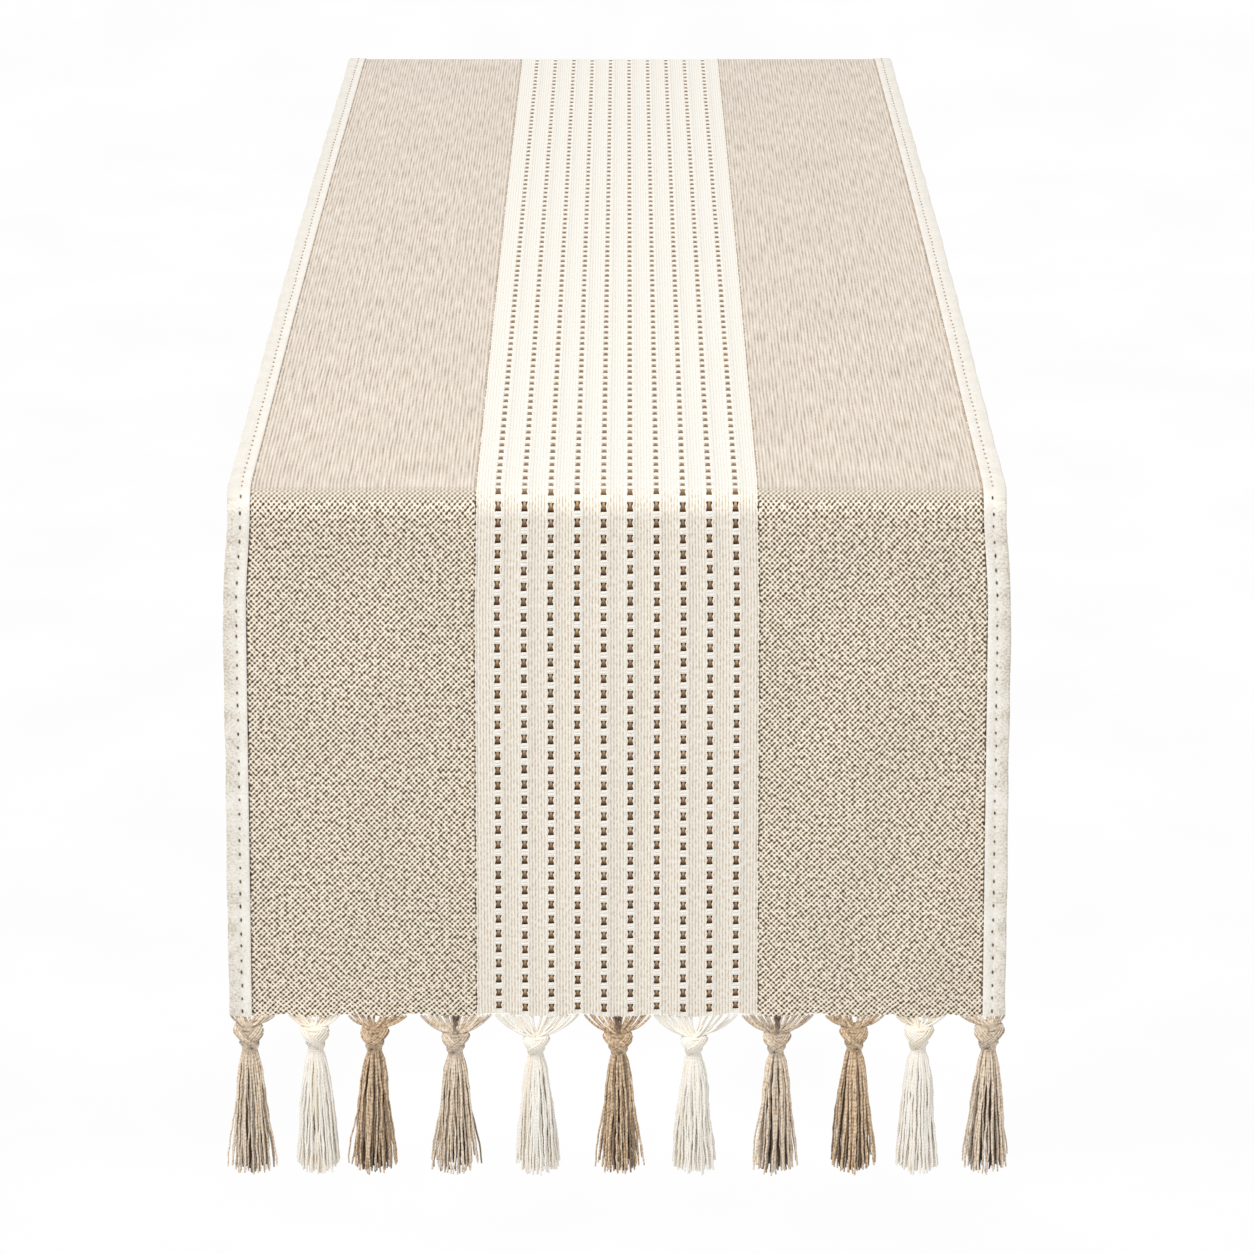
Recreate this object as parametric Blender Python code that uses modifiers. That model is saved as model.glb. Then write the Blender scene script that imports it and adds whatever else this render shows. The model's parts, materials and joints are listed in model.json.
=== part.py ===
"""A woven table runner draped over a table, with a drop and a knotted fringe at each end.

Run it with: blender --background --python part.py

Metres, +Z up. X runs across the cloth and Y along it. The origin is the middle of the underside
of the level span, where the table top carries the cloth. The cloth is five strips sewn side by
side: two folded edge bands, two linen panels and a drawn-thread cotton panel in the middle. Each
strip is made in three lengths, because each drop can be lifted about the table's edge. Under each
drop, the warp ends are gathered into tassels, which swing from the cloth's end.
"""

import math

import bmesh
import bpy
from mathutils import Vector

# The table that the runner is made for, and how far the cloth hangs below its top face.
TABLE_DEPTH = 0.762
TABLE_EDGE_RADIUS = 0.008
DROP_LENGTH = 0.218

# The strips, across the cloth.
EDGE_BAND_WIDTH = 0.0090
LINEN_WIDTH = 0.0884
CENTRE_WIDTH = 0.1102
CLOTH_THICKNESS = 0.0012
EDGE_BAND_THICKNESS = 0.0018

# The tassels, from the middle one out: how much of the warp each knot takes, and its yarn.
WARP_SHARES = (1.00, 1.05, 1.04, 0.93, 0.80, 0.68)
YARNS = ("taupe", "cream", "beige", "taupe", "cream", "beige")
FAN_SHARE = 0.85
FAN_FALL = 0.27
FAN_THICKNESS = 0.0010
TASSEL_LENGTH = 0.067
KNOT_WIDTH = 0.0114
KNOT_DEPTH = 0.0100
KNOT_HEIGHT = 0.0098
NECK_RADIUS = 0.0030
HEM_RADIUS = 0.0084

# Clearances between pieces.
SEAM_GAP = 0.0003
FOLD_GAP = 0.0003
TASSEL_GAP = 0.0008
KNOT_GAP = 0.0003
FOLD_TAIL = 0.0020

# How finely the round shapes are cut.
BEND_STEPS = 6
ROUND_STEPS = 12
KNOT_RINGS = 6
SKIRT_RINGS = 5

LINEN = ("linen", (0.62, 0.54, 0.44, 1.0), 0.95)
COTTON = ("cream_cotton", (0.86, 0.81, 0.73, 1.0), 0.92)
YARN_FINISHES = {
    "cream": ("cream_yarn", (0.80, 0.73, 0.62, 1.0), 0.85),
    "beige": ("beige_yarn", (0.55, 0.43, 0.30, 1.0), 0.85),
    "taupe": ("taupe_yarn", (0.38, 0.27, 0.17, 1.0), 0.85),
}

# Name, width, thickness and finish of each strip, from -X to +X.
STRIPS = (
    ("edge_band_left", EDGE_BAND_WIDTH, EDGE_BAND_THICKNESS, COTTON),
    ("linen_left", LINEN_WIDTH, CLOTH_THICKNESS, LINEN),
    ("openwork_centre", CENTRE_WIDTH, CLOTH_THICKNESS, COTTON),
    ("linen_right", LINEN_WIDTH, CLOTH_THICKNESS, LINEN),
    ("edge_band_right", EDGE_BAND_WIDTH, EDGE_BAND_THICKNESS, COTTON),
)
CLOTH_WIDTH = sum(width for _, width, _, _ in STRIPS)
FOLD_Z = -(TABLE_EDGE_RADIUS + FOLD_TAIL)
TASSEL_Y = TABLE_DEPTH / 2 + CLOTH_THICKNESS / 2
TASSEL_Z = -(DROP_LENGTH + TASSEL_GAP)


def clear_scene():
    for obj in list(bpy.data.objects):
        bpy.data.objects.remove(obj, do_unlink=True)


def new_collection(name):
    collection = bpy.data.collections.new(name)
    bpy.context.scene.collection.children.link(collection)
    return collection


def material(node_name, finish):
    """The piece's own material, in its finish."""
    slot, colour, roughness = finish
    made = bpy.data.materials.new(f"{slot}_{node_name}")
    made.use_nodes = True
    shader = made.node_tree.nodes["Principled BSDF"]
    shader.inputs["Base Color"].default_value = colour
    shader.inputs["Roughness"].default_value = roughness
    shader.inputs["Metallic"].default_value = 0.0
    return made


def add_piece(collection, name, data, finish, location=(0, 0, 0), parent=None):
    """An object for this mesh or curve. Its location is a point in the world, whatever its parent."""
    piece = bpy.data.objects.new(name, data)
    data.materials.append(material(name, finish))
    collection.objects.link(piece)
    hang(piece, location, parent)
    return piece


def hang(piece, location, parent):
    """Puts the piece at a world point under its parent. No parent here is turned or scaled."""
    origin = Vector(location)
    piece["world_origin"] = origin
    piece.parent = parent
    piece.location = origin - Vector(parent["world_origin"]) if parent else origin


def strip_places():
    """(name, x of its middle, width of the solid, thickness, finish) of each strip."""
    edge = -CLOTH_WIDTH / 2
    for name, width, thickness, finish in STRIPS:
        first = edge + (SEAM_GAP / 2 if edge > -CLOTH_WIDTH / 2 else 0)
        edge += width
        last = edge - (SEAM_GAP / 2 if name != STRIPS[-1][0] else 0)
        yield name, (first + last) / 2, last - first, thickness, finish


def quarter_bend(centre, radius, first_angle):
    """Points a quarter turn round, clockwise from first_angle, both ends included."""
    angles = [first_angle - math.pi / 2 * i / BEND_STEPS for i in range(BEND_STEPS + 1)]
    return [(centre[0] + radius * math.cos(a), centre[1] + radius * math.sin(a)) for a in angles]


def drape_line(height):
    """The (y, z) line of the level span, both bends and both tails, this far off the table."""
    middle = TABLE_DEPTH / 2 - TABLE_EDGE_RADIUS
    radius = TABLE_EDGE_RADIUS + height
    front = quarter_bend((-middle, -TABLE_EDGE_RADIUS), radius, math.pi)
    back = quarter_bend((middle, -TABLE_EDGE_RADIUS), radius, math.pi / 2)
    tail = TABLE_DEPTH / 2 + height
    return [(-tail, FOLD_Z)] + front + back + [(tail, FOLD_Z)]


def top_strip(collection, name, x, width, thickness, finish):
    """The level span of a strip, bent down over both table edges."""
    outline = drape_line(thickness) + drape_line(0.0)[::-1]
    curve = bpy.data.curves.new(name, "CURVE")
    curve.dimensions = "2D"
    curve.fill_mode = "BOTH"
    curve.extrude = width / 2
    spline = curve.splines.new("POLY")
    spline.points.add(len(outline) - 1)
    for point, (along, up) in zip(spline.points, outline):
        point.co = (along, up, 0.0, 1.0)
    spline.use_cyclic_u = True
    piece = add_piece(collection, f"top_{name}", curve, finish, location=(x, 0, 0))
    piece.rotation_euler = (math.pi / 2, 0, math.pi / 2)


def drop_strip(collection, end, side, fold, name, x, width, thickness, finish):
    """The hanging length of a strip, from just under the fold to the cloth's end."""
    top = FOLD_Z - FOLD_GAP
    bottom = -DROP_LENGTH
    mesh = bpy.data.meshes.new(f"{end}_drop_{name}")
    solid = bmesh.new()
    bmesh.ops.create_cube(solid, size=1.0)
    bmesh.ops.scale(solid, verts=solid.verts, vec=(width, thickness, top - bottom))
    solid.to_mesh(mesh)
    solid.free()
    centre = (x, side * (TABLE_DEPTH + thickness) / 2, (top + bottom) / 2)
    add_piece(collection, f"{end}_drop_{name}", mesh, finish, centre, fold)


def tassel_places():
    """(x, width of warp, yarn) of each tassel, from -X to +X."""
    whole = 2 * sum(WARP_SHARES) - WARP_SHARES[0]
    unit = CLOTH_WIDTH / whole
    outward = []
    edge = WARP_SHARES[0] / 2 * unit
    for share, yarn in zip(WARP_SHARES[1:], YARNS[1:]):
        outward.append((edge + share * unit / 2, share * unit, yarn))
        edge += share * unit
    left = [(-x, warp, yarn) for x, warp, yarn in reversed(outward)]
    return left + [(0.0, WARP_SHARES[0] * unit, YARNS[0])] + outward


def fan_fall(warp):
    """How far the gathered warp ends fall before they meet at the knot."""
    return FAN_FALL * FAN_SHARE * warp


def knot_sections(warp):
    """(z, half width, half depth) down the fan of warp ends and the knot under it."""
    fall = fan_fall(warp)
    half_fan = FAN_SHARE * warp / 2
    thin = FAN_THICKNESS / 2
    yield 0.0, half_fan, thin
    for down in (0.4, 0.75):
        share = math.cos(down * math.pi / 2) ** 0.5
        yield -fall * down, half_fan * share, thin + down * (NECK_RADIUS - thin) / 2
    for ring in range(KNOT_RINGS + 1):
        turn = math.pi * (0.12 + 0.76 * ring / KNOT_RINGS)
        round_share = math.sin(turn)
        taper = 1.06 - 0.14 * ring / KNOT_RINGS
        z = -fall - KNOT_HEIGHT * ring / KNOT_RINGS
        yield z, KNOT_WIDTH / 2 * round_share * taper, KNOT_DEPTH / 2 * round_share * taper


def knot_mesh(name, warp):
    """A closed loft through the knot's oval sections."""
    solid = bmesh.new()
    rings = []
    for z, half_width, half_depth in knot_sections(warp):
        turns = [2 * math.pi * i / ROUND_STEPS for i in range(ROUND_STEPS)]
        ring = [(half_width * math.cos(t), half_depth * math.sin(t), z) for t in turns]
        rings.append([solid.verts.new(point) for point in ring])
    for upper, lower in zip(rings, rings[1:]):
        for i in range(ROUND_STEPS):
            j = (i + 1) % ROUND_STEPS
            solid.faces.new((upper[i], lower[i], lower[j], upper[j]))
    solid.faces.new(rings[0])
    solid.faces.new(rings[-1][::-1])
    bmesh.ops.recalc_face_normals(solid, faces=solid.faces)
    mesh = bpy.data.meshes.new(name)
    solid.to_mesh(mesh)
    solid.free()
    mesh.shade_smooth()
    mesh.set_sharp_from_angle(angle=math.radians(50))
    return mesh


def skirt_profile(length):
    """(radius, z) down the outside of a bundle of cut yarns, from its neck to its hem."""
    for ring in range(SKIRT_RINGS + 1):
        down = ring / SKIRT_RINGS
        yield NECK_RADIUS + (HEM_RADIUS - NECK_RADIUS) * down**0.6, -length * down


def skirt_mesh(name, length):
    """The open profile that a Screw modifier turns into the skirt."""
    profile = [(0.0, 0.0)] + list(skirt_profile(length)) + [(0.0, -length)]
    mesh = bpy.data.meshes.new(name)
    points = [(radius, 0.0, z) for radius, z in profile]
    mesh.from_pydata(points, [(i, i + 1) for i in range(len(points) - 1)], [])
    return mesh


def turn_solid(piece):
    screw = piece.modifiers.new("turn", "SCREW")
    screw.steps = screw.render_steps = ROUND_STEPS
    screw.use_merge_vertices = True
    screw.merge_threshold = 0.00005


def tassel(collection, end, side, fold, number, x, warp, yarn):
    """A knot that swings from the cloth's end, and the skirt of cut yarns under it."""
    name = f"{end}_tassel_{number:02d}"
    finish = YARN_FINISHES[yarn]
    axis_point = (x, side * TASSEL_Y, TASSEL_Z)
    knot = add_piece(collection, f"{name}_knot", knot_mesh(name, warp), finish, axis_point, fold)
    knot_end = TASSEL_Z - fan_fall(warp) - KNOT_HEIGHT - KNOT_GAP
    length = knot_end - (TASSEL_Z - TASSEL_LENGTH)
    skirt_top = (x, side * TASSEL_Y, knot_end)
    skirt = add_piece(
        collection, f"{name}_skirt", skirt_mesh(name, length), finish, skirt_top, knot
    )
    turn_solid(skirt)


def drop(collection, end, side):
    """One hanging end. Its empty lies along the table's edge, about which the drop lifts."""
    fold = bpy.data.objects.new(f"{end}_table_edge", None)
    collection.objects.link(fold)
    hang(fold, (0, side * TABLE_DEPTH / 2, 0), None)
    for place in strip_places():
        drop_strip(collection, end, side, fold, *place)
    for number, (x, warp, yarn) in enumerate(tassel_places(), start=1):
        tassel(collection, end, side, fold, number, x, warp, yarn)


def main():
    clear_scene()
    runner = new_collection("table_runner")
    for place in strip_places():
        top_strip(runner, *place)
    drop(runner, "front", -1)
    drop(runner, "back", 1)


main()
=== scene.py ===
"""The looks of the woven table runner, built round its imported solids.

Each half of the cloth is laid out flat first, as (across, along, height) in metres, and then draped
over the table's edge by drape(). The cloth, its drawn-thread ladders, seams and stitches all go
through that one function, so they stay together. The tassels are tied from single yarns.
"""

import json
import math

import bpy
import numpy as np
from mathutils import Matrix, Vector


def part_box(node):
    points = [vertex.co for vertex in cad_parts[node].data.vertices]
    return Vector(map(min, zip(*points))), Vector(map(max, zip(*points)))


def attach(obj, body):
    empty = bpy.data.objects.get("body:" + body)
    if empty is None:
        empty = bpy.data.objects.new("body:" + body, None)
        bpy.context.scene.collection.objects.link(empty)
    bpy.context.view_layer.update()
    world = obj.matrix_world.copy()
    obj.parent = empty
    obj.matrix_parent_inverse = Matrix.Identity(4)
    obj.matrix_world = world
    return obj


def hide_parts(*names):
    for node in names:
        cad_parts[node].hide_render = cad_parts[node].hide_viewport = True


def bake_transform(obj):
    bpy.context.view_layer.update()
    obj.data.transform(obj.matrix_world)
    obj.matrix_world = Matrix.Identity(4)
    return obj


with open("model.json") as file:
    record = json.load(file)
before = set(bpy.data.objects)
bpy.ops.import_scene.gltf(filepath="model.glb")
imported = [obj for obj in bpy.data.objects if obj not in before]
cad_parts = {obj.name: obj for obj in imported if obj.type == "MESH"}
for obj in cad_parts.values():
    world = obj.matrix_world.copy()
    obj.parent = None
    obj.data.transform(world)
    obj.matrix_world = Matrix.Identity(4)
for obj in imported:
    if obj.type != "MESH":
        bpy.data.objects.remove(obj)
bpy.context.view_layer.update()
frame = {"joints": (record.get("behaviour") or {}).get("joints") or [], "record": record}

ENDS = {"front": -1, "back": 1}
STRIPS = ("edge_band_left", "linen_left", "openwork_centre", "linen_right", "edge_band_right")

# The drape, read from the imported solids.
DROP_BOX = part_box("front_drop_linen_left")
HALF_DEPTH = -DROP_BOX[1].y
THICKNESS = DROP_BOX[1].y - DROP_BOX[0].y
DROP = -DROP_BOX[0].z
FOLD_TAIL = 0.002
EDGE_RADIUS = -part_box("top_linen_left")[0].z - FOLD_TAIL
LEVEL = HALF_DEPTH - EDGE_RADIUS
MID_RADIUS = EDGE_RADIUS + THICKNESS / 2
BEND = MID_RADIUS * math.pi / 2
HEM_SAG = 0.0018
LENGTH = LEVEL + BEND + DROP - EDGE_RADIUS + HEM_SAG

# The drop spreads a little towards its end, where nothing holds its threads together. The cloth is
# pulled in on the table, more beside the fold, and most at the bend. These are shares of its width.
FLARE = 0.021
PULLED_IN = 0.0055
PULLED_IN_NEAR_FOLD = 0.0065
PULLED_IN_AT_BEND = 0.003

# Below the bend the cloth eases out to its own width, then hangs in shallow ripples.
EASED_OUT = 0.04
RIPPLED = 0.06
RIPPLE = 0.00035
FINE_RIPPLE = 0.00025

# The cloth's end rises a little between two tassels, starting beside each tassel's middle.
SCALLOP = 0.0013
SCALLOP_START = 0.004
SCALLOP_WIDTH = 0.010
SCALLOP_REACH = 0.016

# How finely the cloth is cut along its length: on the flat, round the bend, and at its end.
FLAT_STEP = 0.004
BEND_STEP = 0.0011
END_REACH = 0.018
END_LINES = 17

# The CAD strips stop short of their seams, and the cloth reaches this much further.
SEAM_OVERLAP = 0.00012

# The ladders of drawn-thread holes in the centre panel. A hole's outline is (share of its length,
# half its width there) from its top to its foot, and its lip is (distance out from the hole, lift,
# whiteness) of the cloth beside it. The panel is plain for a margin at both sides.
LADDERS = 10
LADDER_PITCH = 0.01032
ROW_PITCH = 0.00642
LEVEL_ROW_PITCH = 0.0083
HOLE_SHARE = 0.58
END_MARGIN = 0.0018
HOLE_OUTLINE = ((0.0, 0.00124), (0.16, 0.00116), (0.42, 0.00080), (0.72, 0.00110), (1.0, 0.00128))
HOLE_LIP = ((0.0, 0.0001, 1), (0.00038, 0.00032, 1), (0.00085, 0, 0))
BAR_HALF_WIDTH = 0.00130
PLAIN_MARGIN = 0.0032
THREAD_DRIFT = 0.00006

# The brown yarn behind a ladder, cut across: how far out and how high. It is cut along at these
# shares of each hole's length.
LADDER_YARN_XS = (-0.00165, -0.00105, -0.0005, 0.0, 0.0005, 0.00105, 0.00165)
LADDER_YARN_LIFTS = (-0.0006, -0.00014, 0.00010, 0.00024, 0.00010, -0.00014, -0.0006)
LADDER_YARN_STEPS = (-0.3, 0.05, 0.22, 0.40, 0.58, 0.78, 0.95)

# Thread spacings, in metres. The linen's ribs on the table are drawn coarser than its warp, which
# is too fine to show there.
LINEN_WARP = 0.00104
LINEN_WEFT = 0.00112
LINEN_RIB = 0.00146
RIB = 0.00118
BAR_THREAD = 0.00055
YARN_TWIST = 0.0016

# The stitches: how far apart, how many of them show, and their size. The seams beside the edge
# bands are heavier than the two beside the centre panel.
BAND_STITCH_PITCH = 0.0057
OUTER_SEAM = (0.0024, 0.98, 1.25)
INNER_SEAM = (0.0021, 0.80, 1.0)
STITCH_THICK = 0.00022
STITCH_RINGS = (-1, -0.5, 0.5, 1)
STITCH_SIDES = 6

# The cut yarns of a tassel's skirt.
SKIRT_YARNS = 84
YARN_RADIUS = 0.00041

# The tassels, by how far they are from the middle one: the knot's height, how far it is above its
# solid, its width, and how far the warp ends spread along the cloth's edge.
KNOT_HEIGHTS = (0.0091, 0.0084, 0.0092, 0.0098, 0.0104, 0.0106)
KNOT_LIFTS = (0.0, -0.0004, 0.0003, 0.0009, 0.0002, -0.0005)
KNOT_WIDTHS = (1.03, 0.93, 0.97, 0.99, 1.02, 1.05)
FAN_SPREAD = (1.04, 1.26, 1.09, 1.00, 1.02, 1.04)
MIDDLE_TASSEL = 6
WARP_END_PITCH = 0.0016
KNOT_YARN_RADIUS = 0.00050

# Two loose warp ends, twisted together, run down the middle of these tassels' fans.
LOOSE_WARP_ENDS = (4, 6, 8)

# How far each knot hangs off its even place, from the left to the right, in tenths of a millimetre.
KNOT_SHIFTS = (-27, 8, -24, -6, -8, 4, -12, -5, 0, -11, 40)
KNOT_SHIFT_UNIT = 0.0001

# The two bands of a knot: how far it lies off the knot's own outline, how many yarns it has, and
# the share of the knot's height at its first and its last yarn. A knot is less deep than wide.
INNER_BAND = (-0.00035, 6, 0.14, 0.90)
OUTER_BAND = (0.00016, 4, 0.27, 0.68)
KNOT_DEPTH_SHARE = 0.9

# A skirt's strays, how full it is on its outside, and how thick its yarns are.
PALE_SKIRT = (0.0008, 0.26, 1.18)
DARK_SKIRT = (0.0024, 0.42, 1.0)
GOLDEN_ANGLE = 2.39996

# The floor is low enough for the cloth to be looked at from underneath.
FLOOR_Z = -2.4
FLOOR_RADIUS = 9.0
FLOOR_SWEEP = 3.0
WALL_TOP = 14.0
FLOOR_SIDES = 64

rng = np.random.default_rng(11)


# ---------------------------------------------------------------- shapes


def ease(share):
    """0 below 0, 1 above 1, and a smooth rise between."""
    share = np.clip(share, 0.0, 1.0)
    return share * share * (3 - 2 * share)


def tassel_middles():
    """The x of each tassel, from left to right."""
    places = [j["pos_m"][0] for j in frame["joints"] if j["name"].startswith("front_tassel")]
    return np.array(sorted(places))


def drape(flat, side):
    """Points of (across, along from the middle, height off mid-cloth) as they lie on the table."""
    across, along, height = np.asarray(flat, float).T
    near = np.abs(across[:, None] - TASSELS[None, :]).min(axis=1)
    rise = SCALLOP * ease((near - SCALLOP_START) / SCALLOP_WIDTH)
    along = along - rise * ease((along - (LENGTH - SCALLOP_REACH)) / SCALLOP_REACH)
    turn = np.clip((along - LEVEL) / MID_RADIUS, 0.0, math.pi / 2)
    past = np.maximum(along - LEVEL - BEND, 0.0)
    from_fold = np.minimum(along - LEVEL, 0.0)
    narrow = PULLED_IN + PULLED_IN_NEAR_FOLD * np.exp(-((from_fold / 0.2) ** 2))
    narrow = narrow * (1 - ease(past / EASED_OUT))
    narrow += PULLED_IN_AT_BEND * np.exp(-(((along - LEVEL - BEND * 0.6) / 0.012) ** 2))
    across = across * (1 - narrow + FLARE * np.clip(past / DROP, 0, 1))
    ripple = RIPPLE * np.sin(across * 61 + 1.3) + FINE_RIPPLE * np.sin(across * 133 + past * 21)
    radius = EDGE_RADIUS + THICKNESS / 2 + height + ease(past / RIPPLED) * ripple
    y = np.minimum(along, LEVEL) + radius * np.sin(turn)
    z = radius * np.cos(turn) - EDGE_RADIUS - past
    return np.stack([across, side * y, z], axis=1)


def hang_share(along):
    """0 on the table and 1 on the drop, where the materials paint shade into the weave's gaps and
    grooves, so that the cloth looks darker and more open where it hangs.
    """
    return ease((along - LEVEL) / (BEND * 0.6))


class Shape:
    """Points, faces and point values that are gathered from many small shapes into one mesh."""

    def __init__(self):
        self.points, self.faces, self.values, self.count = [], [], {}, 0

    def add(self, points, faces, **values):
        points = np.asarray(points, float)
        self.points.append(points)
        self.faces += [tuple(int(i) + self.count for i in face) for face in faces]
        for name, value in values.items():
            width = np.asarray(value, float).reshape(len(points), -1)
            self.values.setdefault(name, []).append(width)
        self.count += len(points)

    def draped(self, side):
        """This shape laid over the table. The front half is mirrored, so its faces turn round."""
        self.points = [drape(np.concatenate(self.points), side)]
        if side < 0:
            self.faces = [face[::-1] for face in self.faces]
        return self

    def object(self, name, material):
        mesh = bpy.data.meshes.new(name)
        points = np.concatenate(self.points)
        mesh.from_pydata(points.tolist(), [], self.faces)
        for key, parts in self.values.items():
            value = np.concatenate(parts).astype(np.float32)
            kind, slot = ("FLOAT", "value") if value.shape[1] == 1 else ("FLOAT_VECTOR", "vector")
            mesh.attributes.new(key, kind, "POINT").data.foreach_set(slot, value.ravel())
        mesh.shade_smooth()
        mesh.set_sharp_from_angle(angle=math.radians(65))
        mesh.materials.append(material)
        mesh.update()
        piece = bpy.data.objects.new(name, mesh)
        bpy.context.scene.collection.objects.link(piece)
        return piece


def ring_faces(rings, sides, closed=False):
    """Faces of a tube of that many rings, with its two ends capped unless it closes on itself."""
    faces = []
    for r in range(rings if closed else rings - 1):
        a, b = r * sides, (r + 1) % rings * sides
        for i in range(sides):
            j = (i + 1) % sides
            faces.append((a + i, a + j, b + j, b + i))
    if not closed:
        faces.append(tuple(range(sides))[::-1])
        faces.append(tuple(range((rings - 1) * sides, rings * sides)))
    return faces


def tube(shape, path, radius, sides, up, tone=1.0, closed=False):
    """A yarn along path. Its point values are (along, cos, sin) round the yarn, and its tone."""
    path = np.asarray(path, float)
    if closed:
        tangent = np.roll(path, -1, axis=0) - np.roll(path, 1, axis=0)
    else:
        tangent = np.gradient(path, axis=0)
    tangent /= np.linalg.norm(tangent, axis=1)[:, None]
    across = np.cross(tangent, np.broadcast_to(np.asarray(up, float), path.shape))
    across /= np.linalg.norm(across, axis=1)[:, None]
    other = np.cross(across, tangent)
    angles = 2 * math.pi * np.arange(sides) / sides
    radius = np.broadcast_to(np.asarray(radius, float), len(path))[:, None, None]
    cos, sin = np.cos(angles)[None, :, None], np.sin(angles)[None, :, None]
    spokes = cos * across[:, None] - sin * other[:, None]
    points = (path[:, None] + radius * spokes).reshape(-1, 3)
    step = np.linalg.norm(np.diff(path, axis=0), axis=1)
    along = np.repeat(np.concatenate([[0.0], np.cumsum(step)]), sides)
    round_it = np.tile(angles, len(path))
    yarn = np.stack([along, np.cos(round_it), np.sin(round_it)], axis=1)
    tones = np.repeat(np.broadcast_to(np.asarray(tone, float), len(path)), sides)
    shape.add(points, ring_faces(len(path), sides, closed), yarn=yarn, tone=tones)


def sheet_solid(shape, across, along, height, missing, edge):
    """A woven sheet with both faces and a rim round its outline and round each hole."""
    rows, cols = across.shape
    total = rows * cols
    flat = np.stack([across.ravel(), along.ravel(), (THICKNESS / 2 + height).ravel()], axis=1)
    under = flat * [1, 1, 0] - [0, 0, THICKNESS / 2]
    points = np.concatenate([flat, under])
    r, c = np.nonzero(~missing)
    a = r * cols + c
    quads = np.stack([a, a + 1, a + 1 + cols, a + cols], axis=1)
    starts = quads.ravel()
    stops = np.roll(quads, -1, axis=1).ravel()
    lone = ~np.isin(starts * total + stops, stops * total + starts)
    starts, stops = starts[lone], stops[lone]
    rims = np.stack([stops, starts, starts + total, stops + total], axis=1)
    faces = np.concatenate([quads, quads[:, ::-1] + total, rims])
    used = np.zeros(len(points), bool)
    used[faces.ravel()] = True
    index = np.cumsum(used) - 1
    cloth = np.stack([points[:, 0], points[:, 1], hang_share(points[:, 1])], axis=1)[used]
    edges = np.concatenate([edge.ravel(), edge.ravel()])[used]
    shape.add(points[used], index[faces], cloth=cloth, edge=edges)


def pillow(shape, middle, half, sides=8, rings=(-1.0, -0.86, -0.4, 0.4, 0.86, 1.0), tone=1.0):
    """A small rounded bundle of thread that runs across the cloth or along it, in flat cloth space."""
    half = np.asarray(half, float)
    long_way = 0 if half[0] >= half[1] else 1
    angles = 2 * math.pi * np.arange(sides) / sides
    points = []
    for ring in rings:
        swell = math.sqrt(max(1 - ring**4, 0.05))
        for angle in angles:
            point = np.zeros(3)
            point[long_way] = ring * half[long_way]
            point[1 - long_way] = swell * half[1 - long_way] * math.cos(angle)
            point[2] = swell * half[2] * math.sin(angle) * (1 if long_way else -1)
            points.append(point + middle)
    points = np.array(points)
    circle = np.tile(np.stack([np.cos(angles), np.sin(angles)], axis=1), (len(rings), 1))
    yarn = np.column_stack([points[:, long_way], circle])
    cloth = np.stack([points[:, 0], points[:, 1], hang_share(points[:, 1])], axis=1)
    faces = [face[::-1] for face in ring_faces(len(rings), sides)]
    shape.add(points, faces, yarn=yarn, cloth=cloth, tone=np.full(len(points), tone))


# ---------------------------------------------------------------- the cloth


def span(strip):
    """The left and right x of a strip, out to the middle of its seams."""
    low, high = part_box(f"top_{strip}")
    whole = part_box("top_edge_band_right")[1].x
    return max(low.x - SEAM_OVERLAP, -whole), min(high.x + SEAM_OVERLAP, whole)


def rows_of_cloth():
    """Distances along the cloth for a plain strip: close together at the bend and at the end."""
    bend_start, bend_stop = LEVEL - FLAT_STEP, LEVEL + BEND + FLAT_STEP
    level = np.arange(0.0, bend_start, FLAT_STEP)
    bend = np.arange(bend_start, bend_stop, BEND_STEP)
    drop = np.arange(bend_stop, LENGTH - END_REACH, FLAT_STEP)
    end = np.linspace(LENGTH - END_REACH, LENGTH, END_LINES)
    return np.concatenate([level, bend, drop, end])


def linen_panel(end, strip):
    """One half of a linen panel. Its cut end is uneven, thread by thread."""
    left, right = span(strip)
    columns = round((right - left) / LINEN_WARP)
    threads = np.linspace(left, right, columns + 1)
    along, across = np.meshgrid(rows_of_cloth(), threads, indexing="ij")
    along[-1] += rng.uniform(-0.0005, 0.0003, columns + 1)
    height = np.zeros(across.shape)
    shape = Shape()
    missing = np.zeros((across.shape[0] - 1, across.shape[1] - 1), bool)
    sheet_solid(shape, across, along, height, missing, height)
    return shape.draped(ENDS[end]).object(f"{end}_{strip}", MATERIALS["linen"])


def hole_rows():
    """(start, pitch) of each row of holes. The rows stand further apart on the table than on the
    drop, and they meet the other half's rows at the cloth's middle with half a bar each."""
    first = LENGTH - END_MARGIN - HOLE_SHARE * ROW_PITCH
    hanging = int((first - LEVEL) / ROW_PITCH) + 1
    rows = [(first - ROW_PITCH * i, ROW_PITCH) for i in range(hanging)]
    last = rows[-1][0]
    count = round(last / LEVEL_ROW_PITCH)
    pitch = last / count
    bar = (1 - HOLE_SHARE) * pitch
    rows += [(last - pitch * (i + 1) + bar / 2, pitch) for i in range(count)]
    return rows[::-1]


def ladder_middles():
    """The x of each ladder, from left to right."""
    return LADDER_PITCH * (np.arange(LADDERS) - (LADDERS - 1) / 2)


def ladder_creep(ladder, along):
    """How far the holes of a ladder stand off their even places, along the cloth."""
    wander = 0.00026 * np.sin(along * 43 + ladder * 2.4) + 0.00014 * np.sin(along * 131 + ladder * 4.1)
    return wander * ease(along / 0.02) * ease((LENGTH - along) / 0.012)


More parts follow.
